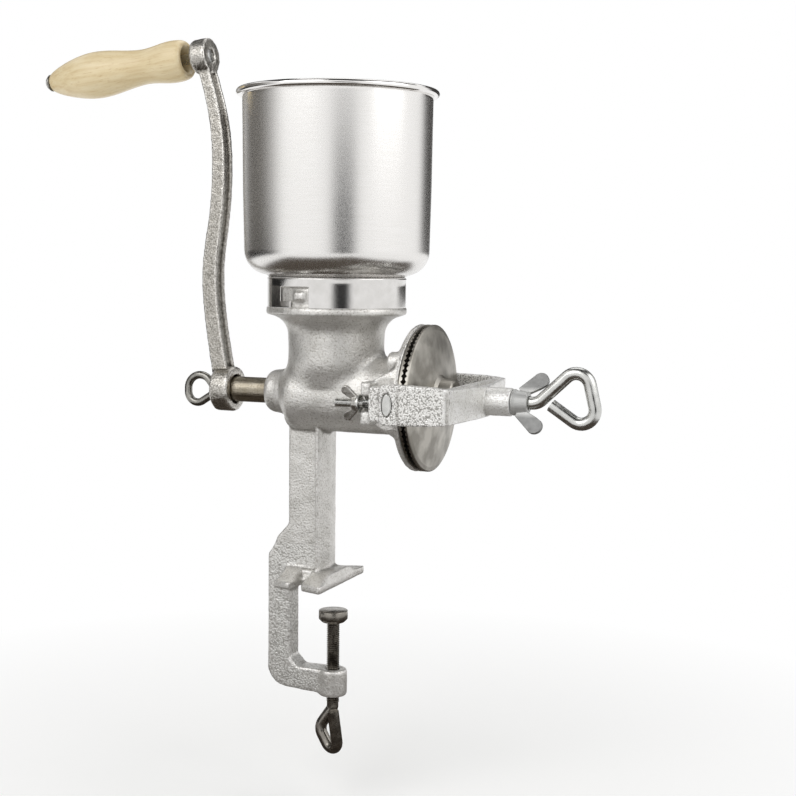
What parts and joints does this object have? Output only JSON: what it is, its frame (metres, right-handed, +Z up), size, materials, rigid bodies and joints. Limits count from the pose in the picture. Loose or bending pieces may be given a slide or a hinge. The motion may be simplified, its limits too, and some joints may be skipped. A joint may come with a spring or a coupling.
{
  "type": "hand crank grinder",
  "caption": "Table clamp peanut grinder with a stainless hopper, a screw fed pair of toothed plates, an adjusting screw in a yoke and a long crank with a wooden grip.",
  "frame": {"origin": "underside of the foot plate, where it rests on the table, directly below the middle of the hopper", "axes": "+Z up; +X along the grinding shaft, from the crank towards the adjusting screw; the shaft axis is 0.145 m above the origin"},
  "size_m": [0.4552, 0.1492, 0.5415],
  "materials": {
    "tinned_cast_iron": "rough sand cast, tin washed",
    "tinned_crank_iron": "rough sand cast, tin washed, greyer",
    "turned_plate_iron": "turned face, dull grey",
    "zinc_plated_steel": "bright zinc plate",
    "die_cast_zinc": "matte grey",
    "bearing_steel": "polished",
    "satin_stainless": "satin, brushed round the bowl",
    "polished_stainless": "mirror polished",
    "turned_wood": "pale turned hardwood, clear varnish"
  },
  "bodies": {
    "root": {"body_casting": "tinned_cast_iron", "fixed_grinding_plate": "turned_plate_iron", "plate_screws": "zinc_plated_steel", "yoke": "tinned_cast_iron", "near_yoke_bolt": "zinc_plated_steel", "far_yoke_bolt": "zinc_plated_steel"},
    "thrust": {"thrust_ball": "bearing_steel"},
    "shaft": {"auger_shaft": "tinned_crank_iron", "drive_pin": "zinc_plated_steel", "rotating_grinding_plate": "turned_plate_iron", "crank_arm": "tinned_crank_iron", "handle_spindle": "zinc_plated_steel", "handle_end_washer": "zinc_plated_steel"},
    "grip": {"wooden_handle": "turned_wood"},
    "crank_washer": {"crank_washer": "zinc_plated_steel"},
    "crank_eye": {"crank_eye_screw": "zinc_plated_steel"},
    "adjuster": {"adjusting_screw": "zinc_plated_steel"},
    "lock_nut": {"adjusting_wing_nut": "die_cast_zinc"},
    "near_washer": {"near_washer": "zinc_plated_steel"},
    "near_nut": {"near_wing_nut": "zinc_plated_steel"},
    "far_washer": {"far_washer": "zinc_plated_steel"},
    "far_nut": {"far_wing_nut": "zinc_plated_steel"},
    "pad": {"clamp_pad": "zinc_plated_steel"},
    "clamp": {"clamp_screw": "zinc_plated_steel"},
    "hopper": {"hopper_bowl": "satin_stainless", "hopper_collar": "polished_stainless"}
  },
  "joints": [
    {"name": "plate_gap", "type": "slide", "parent": "root", "child": "thrust", "axis": [1, 0, 0], "range_m": [-0.0015, 0.0045]},
    {"name": "crank_turn", "type": "hinge", "parent": "thrust", "child": "shaft", "pos_m": [0, 0, 0.145], "axis": [1, 0, 0], "continuous": true},
    {"name": "grip_spin", "type": "hinge", "parent": "shaft", "child": "grip", "pos_m": [-0.1053, 0, 0.398], "axis": [-0.994, 0, -0.1097], "continuous": true},
    {"name": "crank_washer_slide", "type": "slide", "parent": "shaft", "child": "crank_washer", "axis": [-1, 0, 0], "range_m": [0, 0.012]},
    {"name": "crank_eye_turn", "type": "hinge", "parent": "crank_washer", "child": "crank_eye", "pos_m": [-0.11, 0, 0.145], "axis": [-1, 0, 0], "range_deg": [0, 4320]},
    {"name": "adjusting_screw_turn", "type": "hinge", "parent": "thrust", "child": "adjuster", "pos_m": [0.15, 0, 0.145], "axis": [1, 0, 0], "range_deg": [-360, 1080]},
    {"name": "lock_nut_turn", "type": "hinge", "parent": "root", "child": "lock_nut", "pos_m": [0.145, 0, 0.145], "axis": [1, 0, 0], "range_deg": [0, 180]},
    {"name": "near_washer_slide", "type": "slide", "parent": "root", "child": "near_washer", "axis": [-1, 0, 0], "range_m": [0, 0.006]},
    {"name": "near_nut_turn", "type": "hinge", "parent": "near_washer", "child": "near_nut", "pos_m": [0.04, -0.0594, 0.145], "axis": [-1, 0, 0], "range_deg": [0, 2160]},
    {"name": "far_washer_slide", "type": "slide", "parent": "root", "child": "far_washer", "axis": [-1, 0, 0], "range_m": [0, 0.006]},
    {"name": "far_nut_turn", "type": "hinge", "parent": "far_washer", "child": "far_nut", "pos_m": [0.04, 0.0594, 0.145], "axis": [-1, 0, 0], "range_deg": [0, 2160]},
    {"name": "clamp_pad_slide", "type": "slide", "parent": "root", "child": "pad", "axis": [0, 0, 1], "range_m": [-0.035, 0.005]},
    {"name": "clamp_screw_turn", "type": "hinge", "parent": "pad", "child": "clamp", "pos_m": [-0.001, 0, -0.08], "axis": [0, 0, 1], "range_deg": [-8400, 1200]},
    {"name": "hopper_twist", "type": "hinge", "parent": "root", "child": "hopper", "pos_m": [0, 0, 0.22], "axis": [0, 0, 1], "range_deg": [0, 13]}
  ],
  "couplings": [
    {"joint": "adjusting_screw_turn", "follows": "plate_gap", "rad_per_m": 4188.8},
    {"joint": "crank_eye_turn", "follows": "crank_washer_slide", "rad_per_m": 6283.2},
    {"joint": "near_nut_turn", "follows": "near_washer_slide", "rad_per_m": 6283.2},
    {"joint": "far_nut_turn", "follows": "far_washer_slide", "rad_per_m": 6283.2},
    {"joint": "clamp_screw_turn", "follows": "clamp_pad_slide", "rad_per_m": 4188.8}
  ]
}
